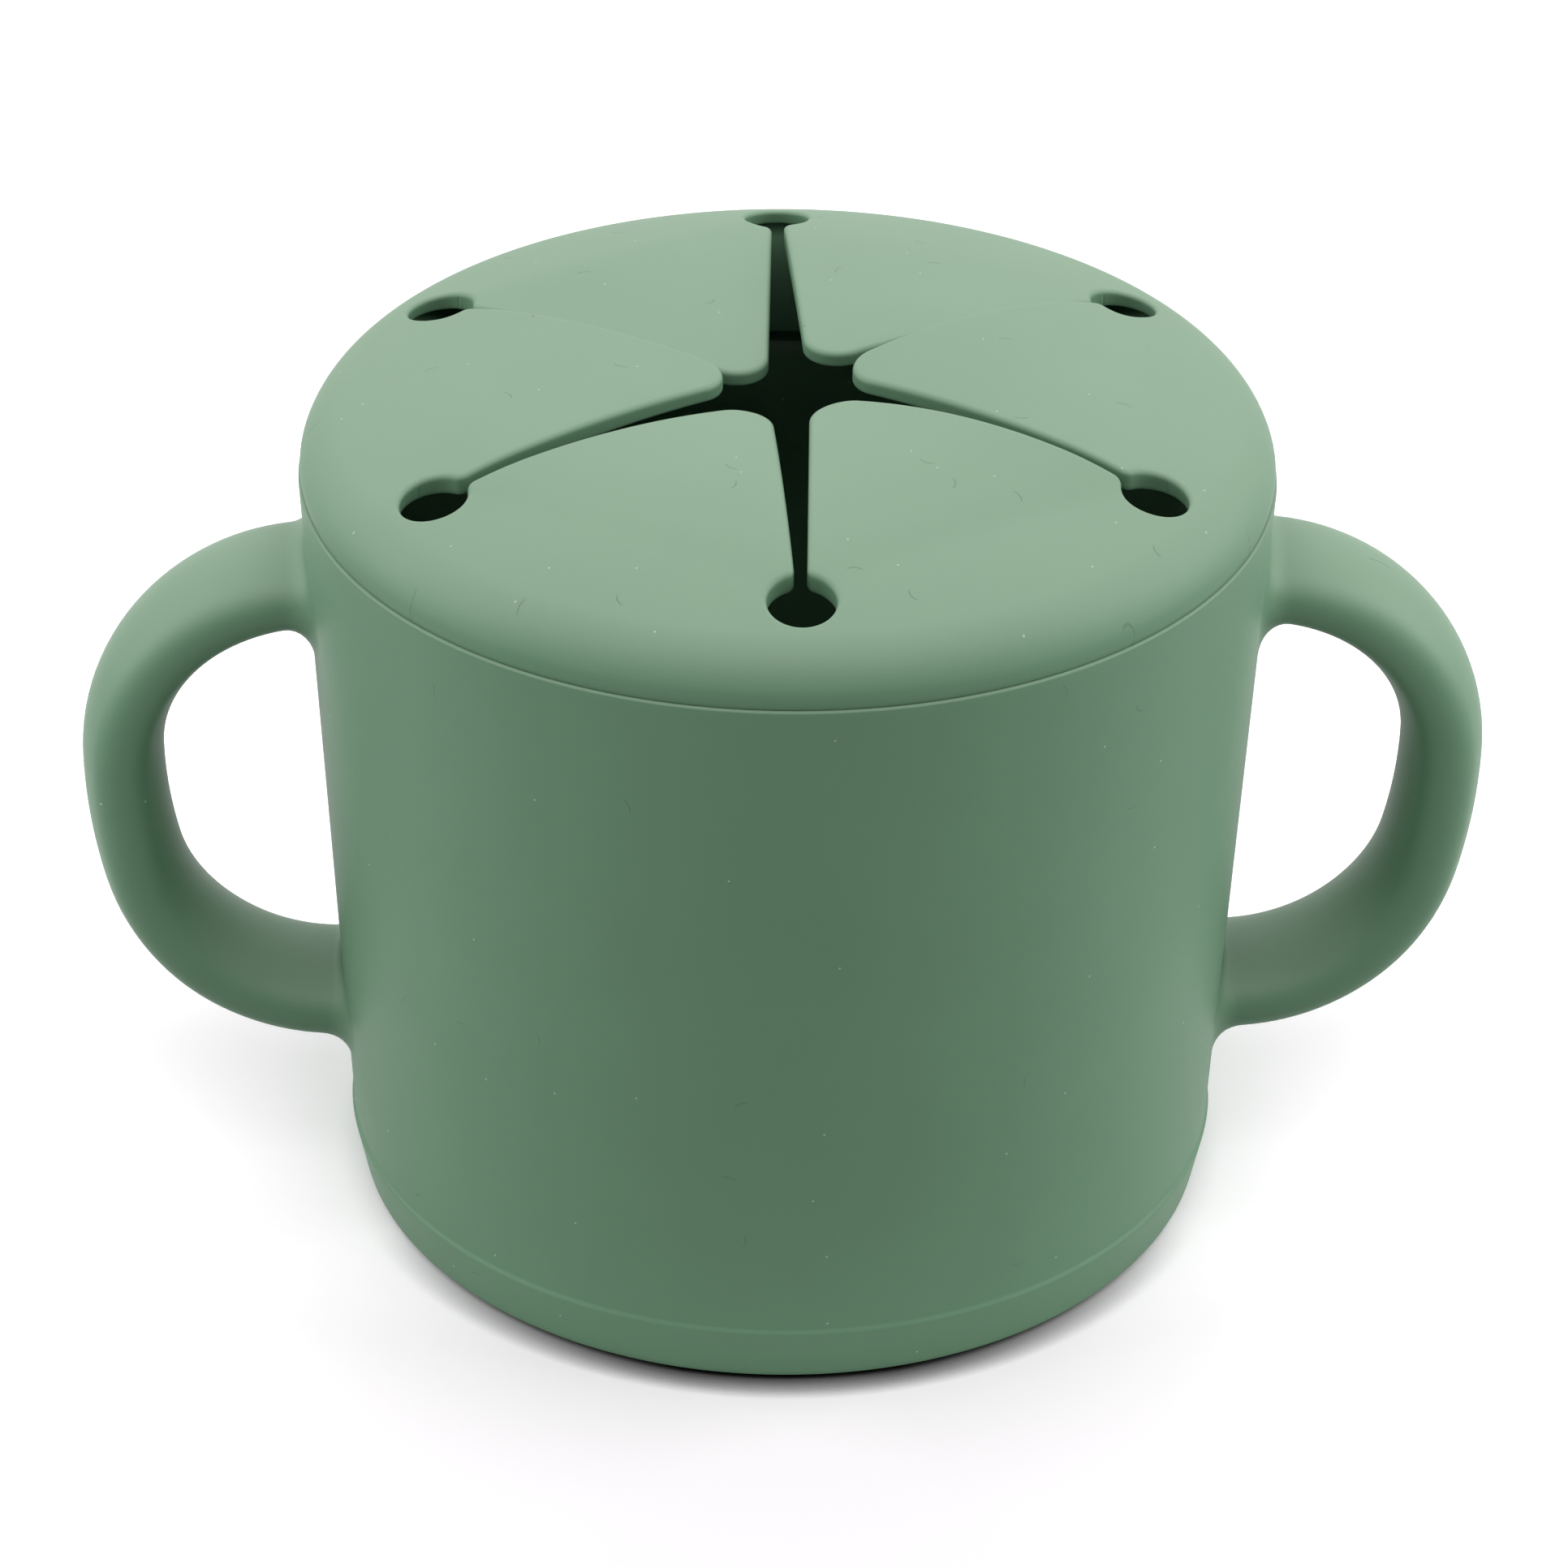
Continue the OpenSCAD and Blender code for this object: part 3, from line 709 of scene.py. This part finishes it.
def silicone(name, colour, round_wall):
    """Moulded silicone: an even pigment, a dull skin with a fine grain, the lint that it picks up, and dust
    with a painted sheen on what faces up.
    """
    material = bpy.data.materials.new(name)
    material.use_nodes = True
    tree = material.node_tree
    tree.nodes.clear()
    places = node(tree, "ShaderNodeTexCoord").outputs
    coords = places["Object"]
    part = node(tree, "ShaderNodeSeparateXYZ", {0: coords}).outputs
    # Marks lie on the lid in plan, and on the cup's wall unrolled
    across, along = part[0], part[1]
    if round_wall:
        around = node(tree, "ShaderNodeMath", {0: part[1], 1: part[0]}, operation="ARCTAN2")
        across = node(tree, "ShaderNodeMath", {0: around, 1: UNROLLED_R * MM}, operation="MULTIPLY")
        along = part[2]
    plane = node(tree, "ShaderNodeCombineXYZ", {0: across, 1: along})
    # Faint mottling of the pigment, in patches and in finer ones within them
    patches = {"Vector": coords, "Scale": per_metre(MOTTLE_SIZE), "Detail": 5.0}
    mottle = node(tree, "ShaderNodeTexNoise", patches)
    tones = {0: mottle.outputs["Fac"], 6: scaled(colour, 0.95), 7: scaled(colour, 1.05)}
    tone = node(tree, "ShaderNodeMix", tones, data_type="RGBA").outputs[2]
    # A pale layer on what faces up, partly the dust that settles there and partly a painted sheen of the
    # light from above, though not on the floor inside
    upward = node(tree, "ShaderNodeSeparateXYZ", {0: places["Normal"]}).outputs[2]
    facing_up = {"Value": upward, "From Min": 0.1, "From Max": 0.95, "To Max": DUST_AND_SHEEN}
    dust_and_sheen = node(tree, "ShaderNodeMapRange", facing_up, interpolation_type="SMOOTHSTEP")
    above_floor = node(tree, "ShaderNodeMath", {0: part[2], 1: PALE_TOPS_FROM_Z * MM}, operation="GREATER_THAN")
    dust_and_sheen = node(tree, "ShaderNodeMath", {0: dust_and_sheen, 1: above_floor}, operation="MULTIPLY")
    tone = node(tree, "ShaderNodeMix", {0: dust_and_sheen, 6: tone, 7: LINT_AND_SHEEN}, data_type="RGBA").outputs[2]
    # Lint: pale specks, and fibres that read a little darker than the silicone
    speck_chance, fibre_chance = (0.35, 0.25) if round_wall else (0.55, 0.55)
    specks = lint(tree, plane, SPECK_CELL, speck_chance)
    strands = fibres(tree, plane, FIBRE_CELL, fibre_chance)
    for mark, strength, mark_tone in ((specks, 0.45, LINT_AND_SHEEN), (strands, 0.5, scaled(colour, 0.6))):
        share = node(tree, "ShaderNodeMath", {0: mark, 1: strength}, operation="MULTIPLY")
        tone = node(tree, "ShaderNodeMix", {0: share, 6: tone, 7: mark_tone}, data_type="RGBA").outputs[2]
    # Sheen of the skin, a little oilier in patches where it was handled
    touches = {"Vector": coords, "Scale": per_metre(HANDLED_SIZE), "Detail": 4.0}
    handled = node(tree, "ShaderNodeTexNoise", touches)
    dullness = {"Value": handled.outputs["Fac"], "To Min": 0.56, "To Max": 0.48}
    rough = node(tree, "ShaderNodeMapRange", dullness).outputs["Result"]
    # Faint waves of a soft wall, the grain of the moulding tool, and the lint. The real grain is some
    # 0.05 mm wide, which is too fine to show, so it is drawn coarser
    wavy = {"Vector": coords, "Scale": per_metre(WAVE_SIZE), "Detail": 1.0}
    waves = node(tree, "ShaderNodeTexNoise", wavy)
    grainy = {"Vector": coords, "Scale": per_metre(GRAIN_SIZE), "Detail": 2.0}
    grain = node(tree, "ShaderNodeTexNoise", grainy)
    marks = node(tree, "ShaderNodeMath", {0: specks, 1: strands}, operation="MAXIMUM")
    heights = (
        (waves.outputs["Fac"], 0.2, 0.6 * MM),
        (grain.outputs["Fac"], 0.15, 0.05 * MM),
        (marks.outputs[0], 0.5, 0.04 * MM),
    )
    relief = {}
    for height, strength, distance in heights:
        relief.update({"Height": height, "Strength": strength, "Distance": distance})
        relief["Normal"] = node(tree, "ShaderNodeBump", relief).outputs["Normal"]
    finish = {
        "Base Color": tone,
        "Normal": relief["Normal"],
        "Roughness": rough,
        "IOR": 1.45,
        "Specular IOR Level": 0.25,
        "Sheen Weight": 0.02,
        "Sheen Roughness": 0.45,
        "Sheen Tint": WHITE,
    }
    shader = node(tree, "ShaderNodeBsdfPrincipled", finish)
    node(tree, "ShaderNodeOutputMaterial", {"Surface": shader.outputs["BSDF"]})
    return material


# The pigment, the pale grey of dust and lint, which also paints a sheen on what faces up, and the white of
# paper and studio
SAGE, LINT_AND_SHEEN, WHITE = linear("63876B"), linear("D5DCCF"), linear("FFFFFF")
# How much pale grey lies on what faces up, as dust and painted sheen, and from which height on
DUST_AND_SHEEN, PALE_TOPS_FROM_Z = 0.15, 12.0
# Sizes of mottling, handled patches, waves and grain, and of the cells that a speck or a fibre may lie in
MOTTLE_SIZE, HANDLED_SIZE, WAVE_SIZE, GRAIN_SIZE = 11.765, 20.0, 15.385, 0.3846
SPECK_CELL, FIBRE_CELL = 8.5, 9.5
# The radius at which the cup's wall is unrolled, and how far apart the nodes stand in the editor
UNROLLED_R, NODE_STEP = 44.0, 220
cup_silicone = silicone("cup_silicone", SAGE, True)
lid_silicone = silicone("lid_silicone", SAGE, False)

# ---------------------------------------------------------------- pieces
cup = cup_mesh("cup_moulding")
cup.data.materials.append(cup_silicone)
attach(cup, "cup")
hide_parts("cup")

ring = ring_mesh("lid_moulding")
ring.data.materials.append(lid_silicone)
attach(ring, "lid")
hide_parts("lid_ring")

# How each petal has settled: rise of its tip, bulge of its middle, twist per millimetre, tip inwards
SETTLED = {
    "right": (0.25, 1.1, 0.10, 0.55),
    "back_right": (-1.05, 0.2, 0.0, 0.0),
    "back_left": (-3.0, -0.1, 0.0, 0.0),
    "left": (-0.45, 0.7, -0.04, 0.35),
    "front_left": (-1.4, 0.9, -0.02, 0.0),
    "front_right": (-0.7, 1.2, 0.10, 0.0),
}
moulded_petal = petal_form()
for index, (side, settling) in enumerate(SETTLED.items()):
    petal = petal_mesh("petal_" + side + "_skin", moulded_petal, index, settling)
    petal.data.materials.append(lid_silicone)
    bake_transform(petal)
    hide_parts("flap_" + side)

# ---------------------------------------------------------------- floor, light and camera
sheet_bm = bmesh.new()
bmesh.ops.create_grid(sheet_bm, x_segments=1, y_segments=1, size=6 / MM)
floor = finished("floor", sheet_bm)
# Uncoated white paper: bright, without a sheen, with a painted contact shadow close to what stands on it.
# Its own tint, and the light that it throws back away from the cup and close to its front
PAPER, THROWN_FAR, THROWN_CLOSE = linear("FFFAFE"), linear("BCBCBC"), linear("F9F9F9")
paper = bpy.data.materials.new("white_paper")
paper.use_nodes = True
paper.node_tree.nodes.clear()
tree = paper.node_tree
spot = node(tree, "ShaderNodeTexCoord").outputs["Object"]
facing = node(tree, "ShaderNodeVectorMath", {0: spot}, operation="NORMALIZE")
forward = node(tree, "ShaderNodeSeparateXYZ", {0: facing}).outputs[1]
reach = node(tree, "ShaderNodeVectorMath", {0: spot}, operation="LENGTH").outputs["Value"]
# 1 on the paper in front of the cup, falling to 0 towards its sides
ahead = node(tree, "ShaderNodeMapRange", {"Value": forward, "From Min": -0.4, "From Max": -0.97})
# Painted contact shadow, up to 3 mm from what stands on the paper, deepest in front of it
near = node(tree, "ShaderNodeAmbientOcclusion", {"Distance": 3 * MM}, samples=4, only_local=False)
shade = node(tree, "ShaderNodeMath", {0: near.outputs["AO"], 1: 2.9}, operation="POWER")
depth = node(tree, "ShaderNodeMix", {0: ahead, 2: 0.1, 3: 1.0})
# Painted shade: as seen, the paper is darker in front of the cup than at its sides
level = node(tree, "ShaderNodeMix", {0: ahead, 2: 1.27, 3: 0.93})
lit = node(tree, "ShaderNodeMix", {0: depth, 2: 1.0, 3: shade})
lit = node(tree, "ShaderNodeMath", {0: lit, 1: level}, operation="MULTIPLY")
open_paper = node(tree, "ShaderNodeVectorMath", {0: PAPER[:3], "Scale": lit}, operation="SCALE")
# The paper throws most light back at the front of the cup's foot
to_foot = falling(reach, 48 * MM, 75 * MM)
by_foot = node(tree, "ShaderNodeMapRange", to_foot, interpolation_type="SMOOTHSTEP")
close = node(tree, "ShaderNodeMath", {0: ahead, 1: by_foot}, operation="MULTIPLY")
thrown = {0: close, 6: THROWN_FAR, 7: THROWN_CLOSE}
given = node(tree, "ShaderNodeMix", thrown, data_type="RGBA").outputs[2]
seen = seen_rays(tree)
white = node(tree, "ShaderNodeMix", {0: seen, 6: given, 7: open_paper}, data_type="RGBA").outputs[2]
sheet = node(tree, "ShaderNodeBsdfDiffuse", {"Color": white})
# From a quarter of a metre out the paper passes into the white of the studio behind it
inner = node(tree, "ShaderNodeMapRange", falling(reach, 0.25, 0.6), interpolation_type="SMOOTHSTEP")
outer = node(tree, "ShaderNodeMath", {0: 1.0, 1: inner}, operation="SUBTRACT")
beyond = node(tree, "ShaderNodeMath", {0: outer, 1: seen}, operation="MULTIPLY")
studio_white = node(tree, "ShaderNodeEmission", {"Color": WHITE, "Strength": 1.0})
seen_floor = node(tree, "ShaderNodeMixShader", {0: beyond, 1: sheet, 2: studio_white})
node(tree, "ShaderNodeOutputMaterial", {"Surface": seen_floor})
floor.data.materials.append(paper)


def softbox(name, place, target, size, power):
    """A rectangular lamp of the given size in metres and power in watts, turned to its target."""
    lamp = bpy.data.lights.new(name, "AREA")
    lamp.shape = "RECTANGLE"
    lamp.size, lamp.size_y = size
    lamp.energy = power
    ob = bpy.data.objects.new(name, lamp)
    ob.location = place
    ob.rotation_euler = (Vector(target) - Vector(place)).to_track_quat("-Z", "Y").to_euler()
    bpy.context.scene.collection.objects.link(ob)


softbox("top_softbox", (0.0, 0.25, 1.1), (0, 0.25, 0), (1.6, 0.9), 4.4)
softbox("front_top_softbox", (0.0, -0.65, 1.1), (0, -0.2, 0), (1.6, 0.9), 10.2)
softbox("back_softbox", (0.0, 1.15, 0.92), (0, 0, 0.06), (1.8, 1.1), 6.4)
softbox("left_softbox", (-1.1, 0.1, 0.5), (0, 0, 0.05), (0.9, 0.9), 8.8)
softbox("right_softbox", (1.1, 0.1, 0.5), (0, 0, 0.05), (0.9, 0.9), 10.4)

world = bpy.data.worlds.new("studio")
world.use_nodes = True
bpy.context.scene.world = world
world.node_tree.nodes.clear()
seen_sky = {"Color": WHITE, "Strength": seen_rays(world.node_tree)}
sky = node(world.node_tree, "ShaderNodeBackground", seen_sky)
node(world.node_tree, "ShaderNodeOutputWorld", {"Surface": sky})

camera_data = bpy.data.cameras.new("camera")
camera = bpy.data.objects.new("camera", camera_data)
bpy.context.scene.collection.objects.link(camera)
bpy.context.scene.camera = camera
camera_data.sensor_width, camera_data.lens = 36.0, 141.62
camera_data.clip_start, camera_data.clip_end = 0.01, 100.0
# It looks at the middle of the cup, from a little to the left and above, from 0.59 m away, tilted a little
LOOK_AT = Vector((0, 0, 0.04))
az, el, roll, away = math.radians(-2.098), math.radians(31.552), math.radians(0.681), 0.58653
back = Vector((math.sin(az) * math.cos(el), -math.cos(az) * math.cos(el), math.sin(el)))
right = Vector((math.cos(az), math.sin(az), 0))
up = back.cross(right)
tilted_right = math.cos(roll) * right + math.sin(roll) * up
tilted_up = math.cos(roll) * up - math.sin(roll) * right
stand = LOOK_AT + back * away
rows = [[tilted_right[i], tilted_up[i], back[i], stand[i]] for i in range(3)]
camera.matrix_world = Matrix(rows + [[0, 0, 0, 1]])
bpy.context.scene.view_settings.view_transform = "Standard"
